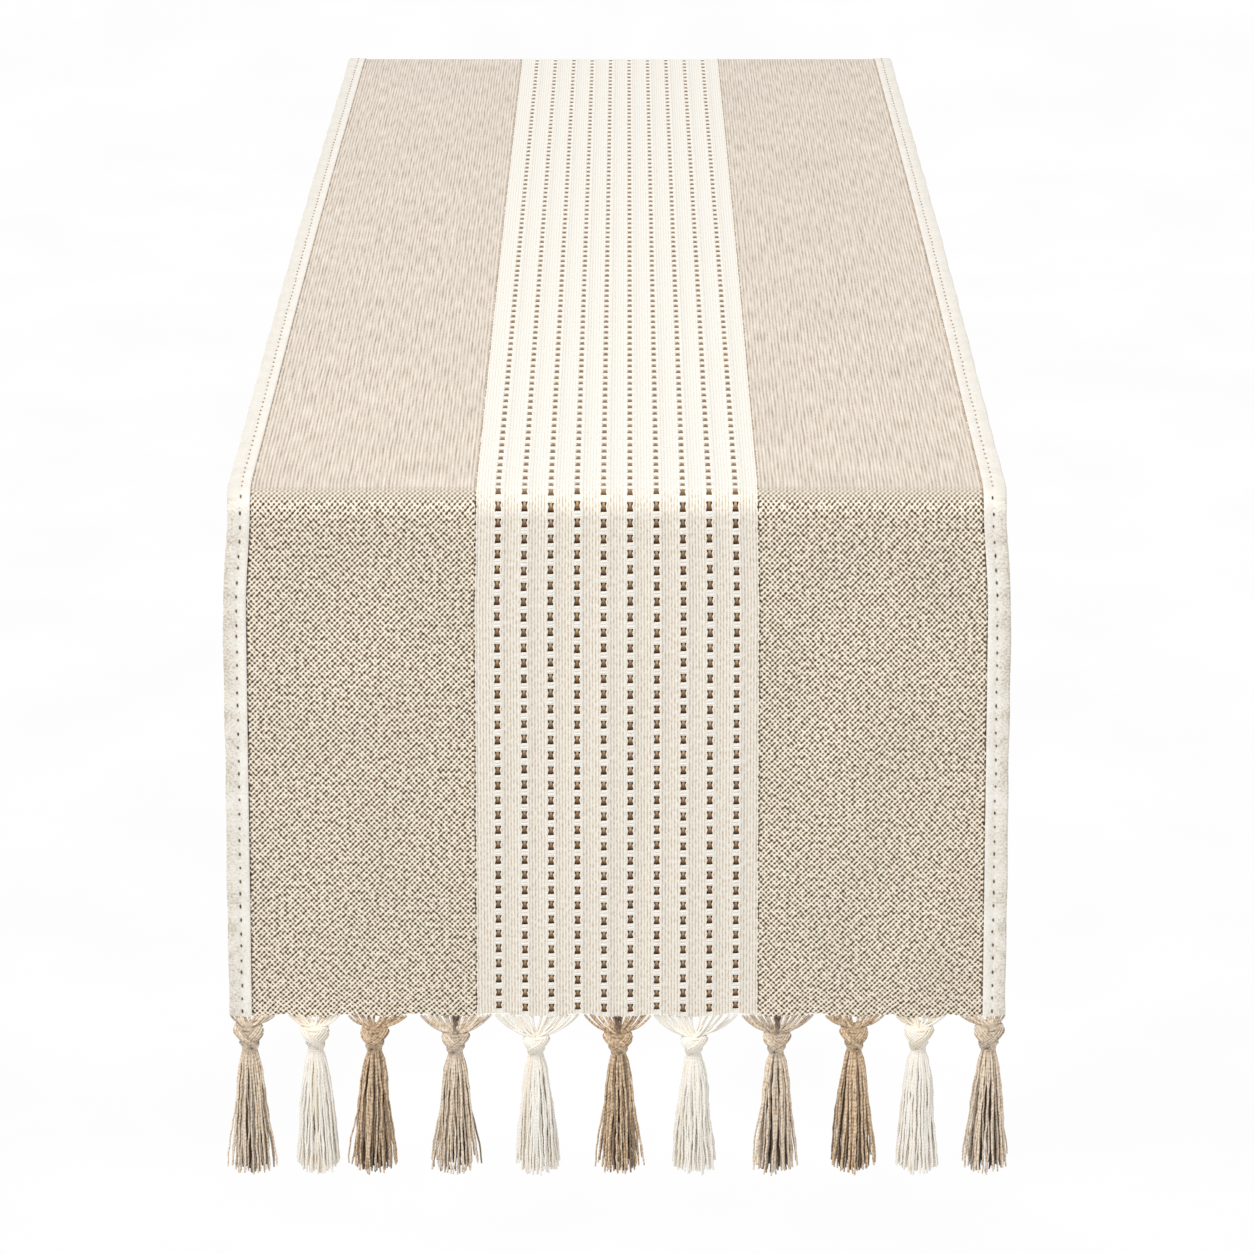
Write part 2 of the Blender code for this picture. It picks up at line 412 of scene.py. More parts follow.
def openwork_lines():
    """(along, half width of the ladder there, whether the hole goes on below it) line by line."""
    lines = [(0.0, BAR_HALF_WIDTH, False)]
    for start, pitch in hole_rows():
        length = HOLE_SHARE * pitch
        for share, half in HOLE_OUTLINE:
            lines.append((start + share * length, half, share < 1.0))
        lines.append((start + length + (pitch - length) * 0.4, BAR_HALF_WIDTH, False))
    lines = [line for line in lines if line[0] < LENGTH - 0.0004]
    return lines + [(LENGTH, BAR_HALF_WIDTH, False)]


def openwork_columns(half):
    """(x, lift, whiteness) across the centre panel, where each ladder is open this half width."""
    left, right = span("openwork_centre")
    middles = ladder_middles()
    columns = [(left, 0.0, 0.0), (left + PLAIN_MARGIN, 0.0, 0.0)]
    for middle in middles:
        for side in (-1, 1):
            for out, lift, white in HOLE_LIP[::side]:
                columns.append((middle + side * (half + out), lift, white))
        if middle < middles[-1]:
            columns.append((middle + LADDER_PITCH / 2, 0.0, 0.0))
    return columns + [(right - PLAIN_MARGIN, 0.0, 0.0), (right, 0.0, 0.0)]


def openwork_panel(end):
    """One half of the centre panel, with a real hole at each step of its ladders."""
    lines = openwork_lines()
    columns = np.array([openwork_columns(half) for _, half, _ in lines])
    across, height, edge = columns[:, :, 0], columns[:, :, 1], columns[:, :, 2]
    along = np.repeat(np.array([line[0] for line in lines])[:, None], across.shape[1], axis=1)
    missing = np.zeros((across.shape[0] - 1, across.shape[1] - 1), bool)
    for ladder in range(LADDERS):
        first = 2 + (2 * len(HOLE_LIP) + 1) * ladder
        own = slice(first, first + 2 * len(HOLE_LIP))
        along[:, own] += ladder_creep(ladder, along[:, own])
        along[1:-1, own] += rng.normal(0, THREAD_DRIFT, (len(lines) - 2, 1))
        missing[:, first + len(HOLE_LIP) - 1] = [line[2] for line in lines[:-1]]
    along[-1] += rng.uniform(-0.0004, 0.0002, across.shape[1])
    shape = Shape()
    sheet_solid(shape, across, along, height, missing, edge)
    return shape.draped(ENDS[end]).object(f"{end}_openwork", MATERIALS["cotton"])


def ladder_bars(end):
    """The white bars between the holes: bundles of weft threads, drawn together."""
    shape = Shape()
    for ladder, middle in enumerate(ladder_middles()):
        for start, pitch in hole_rows():
            bar = (1 - HOLE_SHARE) * pitch / 2
            along = start - bar + ladder_creep(ladder, start - bar)
            if along - bar < 0 or along + bar > LENGTH:
                continue
            thick = 0.00030 + 0.00012 * hang_share(along)
            for part in (-0.5, 0.5):
                x = middle + rng.normal(0, THREAD_DRIFT)
                spot = (x, along + part * bar * 0.94, THICKNESS / 2 - 0.00012)
                pillow(shape, spot, (0.00146, bar * 0.54, thick), tone=rng.uniform(0.0, 1.0))
    return shape.draped(ENDS[end]).object(f"{end}_ladder_bars", MATERIALS["bar"])


def ladder_yarns(end):
    """The brown yarn that runs behind each ladder and fills its holes: a real yarn, made wide enough
    that it also stands in for the shade behind the holes as a dark filling.
    """
    shape = Shape()
    rows_of_holes = hole_rows()
    count = len(LADDER_YARN_XS)
    for ladder, middle in enumerate(ladder_middles()):
        tones = rng.uniform(0.0, 1.0, len(rows_of_holes))
        rows = [
            (start + share * HOLE_SHARE * pitch, share, tone)
            for (start, pitch), tone in zip(rows_of_holes, tones)
            for share in LADDER_YARN_STEPS
        ]
        rows = [row for row in rows if 0 <= row[0] <= LENGTH - 0.001]
        points, step = [], []
        for along, share, _ in rows:
            wave = 0.00014 * math.cos(2 * math.pi * (share - 0.35))
            raised = 0.00026 - 0.00012 * hang_share(along)
            place = along + ladder_creep(ladder, along)
            for x, lift in zip(LADDER_YARN_XS, LADDER_YARN_LIFTS):
                points.append((middle + x, place, lift + wave + raised))
                step.append((x, share, hang_share(along)))
        faces = [
            (r * count + c, r * count + c + 1, (r + 1) * count + c + 1, (r + 1) * count + c)
            for r in range(len(rows) - 1)
            for c in range(count - 1)
        ]
        shape.add(points, faces, step=step, tone=np.repeat([row[2] for row in rows], count))
    return shape.draped(ENDS[end]).object(f"{end}_ladder_yarns", MATERIALS["ladder"])


def tape_outline(half_width, half_thick):
    """A folded tape, cut across: (outward, up) round both layers, the fold and the slit inside."""
    slit = 0.0001
    fold = half_width - half_thick
    turns = [math.pi / 2 - math.pi * i / 8 for i in range(9)]
    outer = [(-half_width, half_thick - 0.0003), (-half_width + 0.0002, half_thick - 0.00005)]
    outer += [(x, half_thick) for x in (-half_width + 0.0009, -0.0016, -0.0009, -0.0004, 0.0002, 0.0014)]
    outer += [(fold + half_thick * math.cos(a), half_thick * math.sin(a)) for a in turns]
    outer += [(0.0, -half_thick), (-half_width, -half_thick)]
    inner = [(fold + slit * math.cos(a), slit * math.sin(a)) for a in turns[::-2]]
    return outer + [(-half_width, -slit)] + inner + [(-half_width, slit)]


def edge_band(end, strip):
    """One half of an edge band: a tape folded double, round at its fold, sewn beside the linen."""
    left, right = span(strip)
    low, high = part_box(f"front_drop_{strip}")
    half_thick = (high.y - low.y) / 2
    outward = -1 if strip.endswith("left") else 1
    middle, half = (left + right) / 2, (right - left) / 2
    outline = tape_outline(half, half_thick)
    along = rows_of_cloth()
    points, band = [], []
    for s in along:
        waver = 0.00012 * math.sin(s * 190) + 0.00010 * math.sin(s * 71 + 1)
        for out, up in outline:
            sunk = 0.00035 * math.exp(-(((out + 0.0008) / 0.0006) ** 2)) * (up > half_thick / 2)
            x = middle + outward * (out + waver * (out > 0))
            points.append((x, s, up + half_thick - THICKNESS / 2 - sunk))
            band.append((out, s, hang_share(s)))
    faces = ring_faces(len(along), len(outline))
    if outward < 0:
        faces = [face[::-1] for face in faces]
    shape = Shape()
    shape.add(points, faces, cloth=band, edge=np.zeros(len(points)))
    return shape.draped(ENDS[end]).object(f"{end}_{strip}", MATERIALS["band"])


def band_stitches(end):
    """The line of small stitches along the middle of each edge band."""
    shape = Shape()
    for strip in ("edge_band_left", "edge_band_right"):
        left, right = span(strip)
        outward = -1 if strip.endswith("left") else 1
        x = (left + right) / 2 - outward * 0.0008
        for along in np.arange(0.003, LENGTH - 0.002, BAND_STITCH_PITCH):
            spot = (x + rng.normal(0, 0.00012), along + rng.normal(0, 0.0003), 0.00115)
            half = (0.00036, rng.uniform(0.00055, 0.0009), STITCH_THICK)
            pillow(shape, spot, half, STITCH_SIDES, STITCH_RINGS, rng.uniform(0.7, 1.2))
    return shape.draped(ENDS[end]).object(f"{end}_band_stitches", MATERIALS["stitch"])


def seam_stitches(end):
    """Whipping threads over the four seams, darker and more even beside the edge bands. On the drop
    their dark marks are partly painted shade of the gaps along the seams. On the table they lie end to
    end and make a fine line."""
    shape = Shape()
    seams = {"linen_left": (OUTER_SEAM, INNER_SEAM), "linen_right": (INNER_SEAM, OUTER_SEAM)}
    for strip, pair in seams.items():
        for x, inward, (pitch, kept, size) in zip(span(strip), (1, -1), pair):
            for along in np.arange(0.001, LENGTH - 0.001, pitch):
                if rng.random() > kept:
                    continue
                if along < LEVEL:
                    wide, reach = rng.uniform(0.00026, 0.00034), pitch * 0.56
                else:
                    wide = rng.uniform(0.00036, 0.00050) * size
                    reach = rng.uniform(0.00052, 0.00086) * size
                x_here = x + inward * rng.uniform(0.0, 0.0004)
                spot = (x_here, along + rng.normal(0, 0.0002), 0.00058)
                half = (wide, reach, STITCH_THICK)
                pillow(shape, spot, half, STITCH_SIDES, STITCH_RINGS, rng.uniform(0.6, 1.3))
    return shape.draped(ENDS[end]).object(f"{end}_seam_stitches", MATERIALS["stitch"])


# ---------------------------------------------------------------- the tassels


def skirt_radius(down):
    """How wide the bundle of cut yarns is at this share of its length, in metres."""
    shares = (0, 0.05, 0.13, 0.33, 0.53, 0.75, 1.0)
    return np.interp(down, shares, (2.6, 3.3, 4.6, 6.0, 6.9, 7.8, 8.7)) / 1000


def skirt(name, place, top, bottom, material, dark_share, pale):
    """Cut yarns that hang from the knot, each a little uneven, with a few strays at the sides. The inner
    ones are painted dark, as painted shade where little light reaches them, and all are painted darker
    just under the knot. The pale skirts are fuller on their outside and stray less."""
    shape = Shape()
    down = np.linspace(0, 1, 19)
    lean = rng.normal(0, 0.0006)
    stray, fullness, thick = PALE_SKIRT if pale else DARK_SKIRT
    for i in range(SKIRT_YARNS):
        share = ((i + 0.5) / SKIRT_YARNS) ** fullness
        angle = i * GOLDEN_ANGLE + rng.uniform(-0.15, 0.15)
        length = (top - bottom) * rng.uniform(0.95, 1.0)
        wobble = rng.uniform(0.0001, 0.00050) * ease(down / 0.3)
        crimp = rng.uniform(0.00008, 0.00020)
        crimp = crimp * np.sin(rng.uniform(0, 6.28) + rng.uniform(28, 44) * down)
        spread = share * (skirt_radius(down) - YARN_RADIUS)
        phase, turns = rng.uniform(0, 6.28), rng.uniform(4, 11)
        x = spread * math.cos(angle) + wobble * np.sin(phase + turns * down) + lean * down + crimp
        y = spread * math.sin(angle) * 0.84 + wobble * np.cos(phase + turns * down)
        if share > 0.88 and abs(math.cos(angle)) > 0.8:
            flare = rng.uniform(0.1, 1.0) * stray * ease((down - 0.35) / 0.65)
            x = x + np.sign(math.cos(angle)) * flare
            length *= rng.uniform(0.94, 1.0)
        z = top + 0.0012 - (length + 0.0012) * down
        path = np.stack([place[0] + x, place[1] + y, z], axis=1)
        # Painted shade: the inner yarns' tone falls nearly to nothing.
        tone = rng.uniform(0.80, 1.0) * (0.06 + 0.94 * ease((share - 0.58) / 0.30))
        if rng.random() < dark_share:
            tone *= 0.35
        radius = YARN_RADIUS * thick * rng.uniform(0.85, 1.15) * (1 - 0.25 * down**6)
        # Painted shade just under the knot.
        shade = ease(down / 0.08) * 0.3 + 0.7
        tube(shape, path, radius, 6, (0, 1, 0), tone * shade)
    return shape.object(name, material)


def knot_radius(down):
    """Half width of the knot at this share of its height: wide shoulders and a narrow foot."""
    shares = (-0.14, -0.07, 0, 0.10, 0.26, 0.45, 0.64, 0.84, 1.0)
    return np.interp(down, shares, (1.4, 3.3, 4.5, 5.3, 5.65, 5.35, 4.5, 3.3, 2.6)) / 1000


def knot(name, place, top, bottom, wide, material, dark_share):
    """Two bands of yarn that cross over the front of the knot. Each climbs from its foot on one side
    to its shoulder on the other, and the narrower one lies on top."""
    shape = Shape()
    turns = np.linspace(0, 2 * math.pi, 32, endpoint=False)
    front_and_back = np.sin(turns) ** 2

    def ring(down, lift, thick, tone):
        radius = knot_radius(down) * wide + lift
        x = place[0] + radius * np.cos(turns)
        y = place[1] + radius * np.sin(turns) * KNOT_DEPTH_SHARE
        path = np.stack([x, y, top - (top - bottom) * down], axis=1)
        tube(shape, path, thick, 6, (0, 0, 1), tone, closed=True)

    # These three rings lie under the bands and are painted darker, as painted shade.
    ring(0.02 + 0.05 * front_and_back, -0.0006, 0.00060, 0.62)
    ring(0.10 + 0.10 * front_and_back, -0.0006, 0.00060, 0.70)
    ring(np.full(len(turns), 0.985), -0.0001, 0.0005, 0.7)
    tilt = np.sign(np.cos(turns)) * np.abs(np.cos(turns)) ** 1.15
    first = rng.choice((-1, 1))
    for way, (lift, strands, high, deep) in ((first, INNER_BAND), (-first, OUTER_BAND)):
        for strand in range(strands):
            share = (strand + 0.5) / strands
            rise = 1.15 - 0.35 * share
            down = high + (deep - high) * share + 0.03 * front_and_back - way * rise / 2 * tilt
            down = np.clip(down, 0.05, 0.96) + rng.normal(0, 0.007, len(turns))
            tone = rng.uniform(0.80, 1.0) * (0.66 if strand in (0, strands - 1) else 1.0)
            if rng.random() < dark_share:
                tone *= 0.12
            ring(down, lift, KNOT_YARN_RADIUS, tone)
    return shape.object(name, material)


def knot_shade_core(name, place, top, bottom, wide, material):
    """The inside of the knot: a dark filling that stands in for the shade in the gaps between its yarns,
    closed over at its top, where it is less dark.
    """
    shape = Shape()
    rings, sides = 15, 16
    points, tones = [], []
    for ring in range(rings):
        down = -0.14 + 1.10 * ring / (rings - 1)
        radius = knot_radius(down) * wide - 0.0007
        height = top - (top - bottom) * down
        for i in range(sides):
            angle = 2 * math.pi * i / sides
            x = place[0] + radius * math.cos(angle)
            y = place[1] + radius * math.sin(angle) * KNOT_DEPTH_SHARE
            points.append((x, y, height))
            # Painted shade: darker below the knot's shoulders, less dark at its top.
            tones.append(0.55 if down < 0.25 else 0.12)
    yarn = [(p[2], 1.0, 0.0) for p in points]
    faces = [face[::-1] for face in ring_faces(rings, sides)]
    shape.add(points, faces, yarn=yarn, tone=tones)
    return shape.object(name, material)


def fan(name, place, lean, half_width, fall, material, dark_share, loose):
    """Warp ends that leave the cloth's edge and sag from both sides to the top of the knot, over its
    front and down into its middle. A small gap stays between the two sides, or two loose warp ends,
    twisted together, fill it. The knot hangs off the fan's middle by lean."""
    shape = Shape()
    count = max(5, round(half_width / WARP_END_PITCH))
    down = np.linspace(0, 1, 12)
    for side in (-1, 1):
        for i in range(count):
            share = (i + 0.5) / count
            share += 0.10 / count * (1 if i % 2 else -1) + rng.uniform(-0.15, 0.15) / count
            start = half_width * (0.09 + 0.92 * share)
            stop = 0.0003 + 0.0026 * share**1.5 + rng.uniform(-0.0002, 0.0002)
            sag = 1.0 + 1.4 * share
            still_apart = (1 - down) ** 1.15
            x = side * (stop + (start - stop) * still_apart) + lean * (1 - still_apart)
            z = -(fall - 0.0004) * (1 - (1 - down) ** sag)
            front = -0.0032 + 0.0034 * rng.random() + 0.0008 * share
            y = 0.0007 * rng.uniform(-1, 1) * (1 - down) + front * ease(down)
            x = np.concatenate([x, lean + side * np.array([stop * 0.85, stop * 0.7])])
            y = np.concatenate([y, [y[-1] * 0.95, y[-1] * 0.8]])
            z = np.concatenate([z + 0.0012 * (1 - down) ** 3, [z[-1] - 0.0010, z[-1] - 0.0028]])
            path = np.stack([place[0] + x, place[1] + y, place[2] + z], axis=1)
            tone = rng.uniform(0.62, 1.0)
            if rng.random() < dark_share:
                tone *= 0.1
            # Painted shade: each warp end darkens where it goes down into the knot.
            painted_shade_into_knot = np.concatenate([1 - 0.35 * down**6, [0.35, 0.1]])
            tube(shape, path, KNOT_YARN_RADIUS, 6, (0, 1, 0), tone * painted_shade_into_knot)
    if loose:
        z = np.linspace(0.001, -fall - 0.001, 14)
        share = np.clip(-z / fall, 0, 1)
        for ply in (0.0, math.pi):
            twist = ply + 7.0 * share
            width = 0.0007 - 0.0002 * share
            x = place[0] + lean * share + width * np.cos(twist)
            y = place[1] - 0.0006 - 0.0022 * ease(share) + width * np.sin(twist)
            path = np.stack([x, y, place[2] + z], axis=1)
            tube(shape, path, width, 7, (0, 1, 0), 0.04 + 0.30 * share)
    return shape.object(name, material)


def tassel(end, number, joint):
    """One tassel: its warp ends, its knot and its skirt, all of them on the tassel's own body."""
    name = f"{end}_tassel_{number:02d}"
    x, y, z = joint["pos_m"]
    from_middle = abs(number - MIDDLE_TASSEL)
    shift = KNOT_SHIFTS[number - 1] * KNOT_SHIFT_UNIT
    in_cloth = (x * (1 + FLARE) + shift * 0.35, y, z - HEM_SAG)
    place = (x * (1 + FLARE) + shift, y, z - HEM_SAG)
    slot = slot_of(f"{name}_knot")
    material = MATERIALS[slot]
    low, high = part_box(f"{name}_knot")
    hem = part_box(f"{name}_skirt")[0].z - HEM_SAG
    half_width = (high.x - low.x) / 2 * FAN_SPREAD[from_middle]
    foot = low.z + KNOT_LIFTS[from_middle]
    top = foot + KNOT_HEIGHTS[from_middle]
    fall = place[2] - top
    wide = KNOT_WIDTHS[from_middle]
    pale = slot == "cream_yarn"
    mixed = 0.30 if pale and from_middle == 4 else 0.0
    loose = number in LOOSE_WARP_ENDS
    pieces = [
        fan(f"{name}_fan", in_cloth, shift * 0.65, half_width, fall, material, mixed * 1.5, loose),
        knot(f"{name}_wound_knot", place, top, foot, wide, material, mixed),
        knot_shade_core(f"{name}_knot_shade_core", place, top, foot, wide, material),
        skirt(f"{name}_cut_yarns", place, foot, hem, material, 0.08 + mixed * 0.3, pale),
    ]
    for piece in pieces:
        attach(piece, name)
    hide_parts(f"{name}_knot")
    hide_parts(f"{name}_skirt")


def slot_of(node):
    """The record's material slot of a CAD node."""
    return next(s["material_slot"] for s in frame["record"]["subparts"] if s["node"] == node)


# ---------------------------------------------------------------- materials


def colour(code):
    """Linear RGBA of an sRGB hex colour."""
    parts = [int(code[i : i + 2], 16) / 255 for i in (1, 3, 5)]
    return [p / 12.92 if p <= 0.04045 else ((p + 0.055) / 1.055) ** 2.4 for p in parts] + [1.0]


def add(tree, kind, inputs=None, out=0, ramp=None, **settings):
    """Adds a node with its settings, and its inputs as values or as other nodes' sockets."""
    made = tree.nodes.new("ShaderNode" + kind)
    for key, value in settings.items():
        setattr(made, key, value)
    for key, value in (inputs or {}).items():
        if isinstance(value, bpy.types.NodeSocket):
            tree.links.new(value, made.inputs[key])
        else:
            made.inputs[key].default_value = value
    for i, (place, code) in enumerate(ramp or ()):
        stops = made.color_ramp.elements
        stop = stops[i] if i < 2 else stops.new(place)
        stop.position = place
        stop.color = colour(code)
    return made.outputs[out]


def new_material(name, roughness, sheen=0.0):
    """A cloth or yarn: dull, with little shine and some sheen from its loose fibres."""
    made = bpy.data.materials.new(name)
    made.use_nodes = True
    shader = made.node_tree.nodes["Principled BSDF"]
    shader.inputs["Roughness"].default_value = roughness
    shader.inputs["IOR"].default_value = 1.5
    shader.inputs["Specular IOR Level"].default_value = 0.25
    shader.inputs["Sheen Weight"].default_value = sheen
    shader.inputs["Sheen Roughness"].default_value = 0.6
    return made, made.node_tree, shader


def mix(tree, share, first, second):
    """The first colour where share is 0, and the second where it is 1."""
    return add(tree, "Mix", {0: share, 6: first, 7: second}, out=2, data_type="RGBA")


def relief(tree, shader, height, distance, strength=1.0):
    """Bump of this height, where 1 stands for distance in metres."""
    bump = add(tree, "Bump", {"Height": height, "Distance": distance, "Strength": strength})
    tree.links.new(bump, shader.inputs["Normal"])


def point_values(tree, name):
    """Sockets of a three-part point value: the whole of it, and its parts."""
    vector = add(tree, "Attribute", out=1, attribute_name=name)
    parts = tree.nodes.new("ShaderNodeSeparateXYZ")
    tree.links.new(vector, parts.inputs[0])
    return vector, tuple(parts.outputs)


def cloth_coordinates(tree):
    """Sockets of the cloth's own vector, and of its parts (across, along, hanging share)."""
    return point_values(tree, "cloth")


def linen_material():
    """Flax linen in an open plain weave: pale round threads, with a gap at every other crossing. On the
    drop the gaps are painted dark, as painted shade in and behind the open weave; on the table they stay
    pale. Slubs make the gaps run together along one diagonal or the other in patches."""
    made, tree, shader = new_material("linen_plain_weave", 0.92, 0.15)
    vector, (across, along, hanging) = cloth_coordinates(tree)
    waver = add(tree, "TexNoise", {"Vector": vector, "Scale": 260.0, "Detail": 2.0})
    waver = add(tree, "MapRange", {0: waver, 1: 0.0, 2: 1.0, 3: -1.2, 4: 1.2})
    phases = []
    for place, pitch, sign in ((across, LINEN_WARP, 1.0), (along, LINEN_WEFT, -0.8)):
        turned = add(tree, "Math", {0: place, 1: math.pi / pitch}, operation="MULTIPLY")
        phases.append(add(tree, "Math", {0: waver, 1: sign, 2: turned}, operation="MULTIPLY_ADD"))
    waves = [
        add(tree, "Math", {0: phase}, operation=kind) for kind in ("COSINE", "SINE") for phase in phases
    ]
    crossing = add(tree, "Math", {0: waves[0], 1: waves[1]}, operation="MULTIPLY")
    slant = add(tree, "Math", {0: waves[2], 1: waves[3]}, operation="MULTIPLY")
    patch = add(tree, "TexNoise", {"Vector": vector, "Scale": 230.0, "Detail": 3.0})
    patch = add(tree, "MapRange", {0: patch, 1: 0.30, 2: 0.70, 3: -0.40, 4: 0.18})
    weave = add(tree, "Math", {0: slant, 1: patch, 2: crossing}, operation="MULTIPLY_ADD")
    grain = add(tree, "TexNoise", {"Vector": vector, "Scale": 560.0, "Detail": 2.0})
    grain = add(tree, "MapRange", {0: grain, 1: 0.3, 2: 0.7, 3: -0.46, 4: 0.46})
    weave = add(tree, "Math", {0: weave, 1: grain}, operation="ADD")
    drop_share = add(tree, "MapRange", {0: weave, 1: -1.3, 2: 1.3})
    # Painted shade: the dark stops of these two ramps are shade in the weave's gaps on the drop.
    threads = ((0.0, "#fffcf0"), (0.86, "#38291a"), (0.38, "#fef4e2"), (0.52, "#dccdb6"))
    gaps = ((0.64, "#9f8c73"), (0.75, "#604e39"))
    drop_painted_shade_colour = add(tree, "ValToRGB", {0: drop_share}, ramp=threads + gaps)
    stretched = add(tree, "VectorMath", {0: vector, 1: (1.0, 0.07, 0.0)}, operation="MULTIPLY")
    streak = add(tree, "TexNoise", {"Vector": stretched, "Scale": 800.0, "Detail": 1.0})
    streak = add(tree, "MapRange", {0: streak, 1: 0.25, 2: 0.75, 3: 0.54, 4: 0.86})
    slow = add(tree, "TexNoise", {"Vector": vector, "Scale": 35.0, "Detail": 1.0})
    ribbed = add(tree, "Math", {0: across, 1: 2 * math.pi / LINEN_RIB}, operation="MULTIPLY")
    ribbed = add(tree, "Math", {0: slow, 1: 3.0, 2: ribbed}, operation="MULTIPLY_ADD")
    ribbed = add(tree, "Math", {0: ribbed}, operation="COSINE")
    top = add(tree, "Math", {0: ribbed, 1: 0.19, 2: streak}, operation="MULTIPLY_ADD")
    top = add(tree, "Math", {0: weave, 1: 0.11, 2: top}, operation="MULTIPLY_ADD")
    ribs = ((0.15, "#fdf4e9"), (1.15, "#a39280"), (0.55, "#e5dacd"), (0.85, "#ccbfaf"))
    top_colour = add(tree, "ValToRGB", {0: top}, ramp=ribs)
    base = mix(tree, hanging, top_colour, drop_painted_shade_colour)
    cloud = add(tree, "TexNoise", {"Vector": vector, "Scale": 26.0, "Detail": 3.0})
    cloud = add(tree, "MapRange", {0: cloud, 1: 0.3, 2: 0.7, 3: 0.96, 4: 1.03})
    base = add(tree, "VectorMath", {0: base, 1: cloud}, operation="MULTIPLY")
    tree.links.new(base, shader.inputs["Base Color"])
    height = add(tree, "Math", {0: weave, 1: -0.5}, operation="MULTIPLY")
    relief(tree, shader, height, 0.00018, 0.6)
    return made


def cotton_material():
    """Cream cotton, woven with fine lengthwise ribs, with painted shade in the grooves between them on
    the drop and hardly any on the table, and whiter where threads are drawn together beside the holes."""
    made, tree, shader = new_material("ribbed_cream_cotton", 0.88, 0.2)
    vector, (across, _, hanging) = cloth_coordinates(tree)
    waver = add(tree, "TexNoise", {"Vector": vector, "Scale": 260.0, "Detail": 2.0})
    waver = add(tree, "MapRange", {0: waver, 1: 0.0, 2: 1.0, 3: -0.6, 4: 0.6})
    turned = add(tree, "Math", {0: across, 1: 2 * math.pi / RIB}, operation="MULTIPLY")
    turned = add(tree, "Math", {0: turned, 1: waver}, operation="ADD")
    rib = add(tree, "Math", {0: turned}, operation="COSINE")
    squeezed = add(tree, "VectorMath", {0: vector, 1: (1.0, 0.45, 0.0)}, operation="MULTIPLY")
    grain = add(tree, "TexNoise", {"Vector": squeezed, "Scale": 1300.0, "Detail": 2.0})
    grain = add(tree, "MapRange", {0: grain, 1: 0.28, 2: 0.72, 3: -0.6, 4: 0.6})
    weave = add(tree, "Math", {0: rib, 1: 0.62, 2: grain}, operation="MULTIPLY_ADD")
    share = add(tree, "MapRange", {0: weave, 1: -1.1, 2: 1.1})
    # Painted shade: the drop's ramp is darker in the rib grooves than the table's paler, flatter ramp.
    ribs = ((0.0, "#fffdf6"), (1.0, "#c2b39d"), (0.4, "#faf3e7"), (0.7, "#e3d7c6"))
    drop_painted_shade_colour = add(tree, "ValToRGB", {0: share}, ramp=ribs)
    smooth = ((0.0, "#fcf9f2"), (1.0, "#e0d9cc"), (0.5, "#f3efe6"))
    top_colour = add(tree, "ValToRGB", {0: share}, ramp=smooth)
    base = mix(tree, hanging, top_colour, drop_painted_shade_colour)
    edge = add(tree, "Attribute", out=2, attribute_name="edge")
    edge = add(tree, "Math", {0: edge, 1: 0.8}, operation="MULTIPLY")
    base = mix(tree, edge, base, colour("#fdf9f0"))
    tree.links.new(base, shader.inputs["Base Color"])
    height = add(tree, "Math", {0: weave, 1: -0.5}, operation="MULTIPLY")
    relief(tree, shader, height, 0.00016, 0.6)
    return made


def band_material():
    """Folded cream cotton tape: a close weave of fine threads, a little uneven from ironing. It has
    painted light along its seam side, and stronger painted light and shade on the drop than on the
    table.
    """
    made, tree, shader = new_material("folded_cream_cotton_tape", 0.88, 0.2)
    vector, (across, _, hanging) = cloth_coordinates(tree)
    grain = add(tree, "TexNoise", {"Vector": vector, "Scale": 1000.0, "Detail": 3.0})
    cloud = add(tree, "TexNoise", {"Vector": vector, "Scale": 120.0, "Detail": 2.0})
    mixed = add(tree, "Math", {0: cloud, 1: 0.6, 2: grain}, operation="MULTIPLY_ADD")
    # Painted light: the tape is lighter on its seam side and darker towards its fold.
    lean = add(tree, "MapRange", {0: across, 1: -0.0045, 2: 0.0040, 3: -0.22, 4: 0.10})
    share = add(tree, "Math", {0: mixed, 1: lean}, operation="ADD")
    share = add(tree, "MapRange", {0: share, 1: 0.45, 2: 1.15})
    # Painted light and shade: the drop's ramp is whiter and darker than the table's.
    drop_painted_light_and_shade = ((0.1, "#fffdf7"), (0.9, "#c4baaa"), (0.5, "#f2ece1"))
    drop_painted_shade_colour = add(tree, "ValToRGB", {0: share}, ramp=drop_painted_light_and_shade)
    table_tones = ((0.0, "#f3efe7"), (1.0, "#d9d2c5"), (0.5, "#eae5dc"))
    top_colour = add(tree, "ValToRGB", {0: share}, ramp=table_tones)
    base = mix(tree, hanging, top_colour, drop_painted_shade_colour)
    tree.links.new(base, shader.inputs["Base Color"])
    relief(tree, shader, mixed, 0.00015, 0.5)
    return made


def bar_material():
    """Bleached cotton weft, drawn into bundles: bright, with the lines of its single threads."""
    made, tree, shader = new_material("drawn_white_cotton", 0.85, 0.2)
    vector, (_, along, _) = cloth_coordinates(tree)
    tone = add(tree, "Attribute", out=2, attribute_name="tone")
    turned = add(tree, "Math", {0: along, 1: 2 * math.pi / BAR_THREAD}, operation="MULTIPLY")
    lines = add(tree, "Math", {0: turned}, operation="SINE")
    grain = add(tree, "TexNoise", {"Vector": vector, "Scale": 700.0, "Detail": 2.0})
    mixed = add(tree, "Math", {0: lines, 1: 0.12, 2: grain}, operation="MULTIPLY_ADD")
    mixed = add(tree, "Math", {0: tone, 1: 0.25, 2: mixed}, operation="MULTIPLY_ADD")
    bleached = ((0.3, "#fffdf8"), (1.05, "#e2dbce"), (0.65, "#faf6ee"))
    base = add(tree, "ValToRGB", {0: mixed}, ramp=bleached)
    tree.links.new(base, shader.inputs["Base Color"])
    relief(tree, shader, lines, 0.00008, 0.5)
    return made


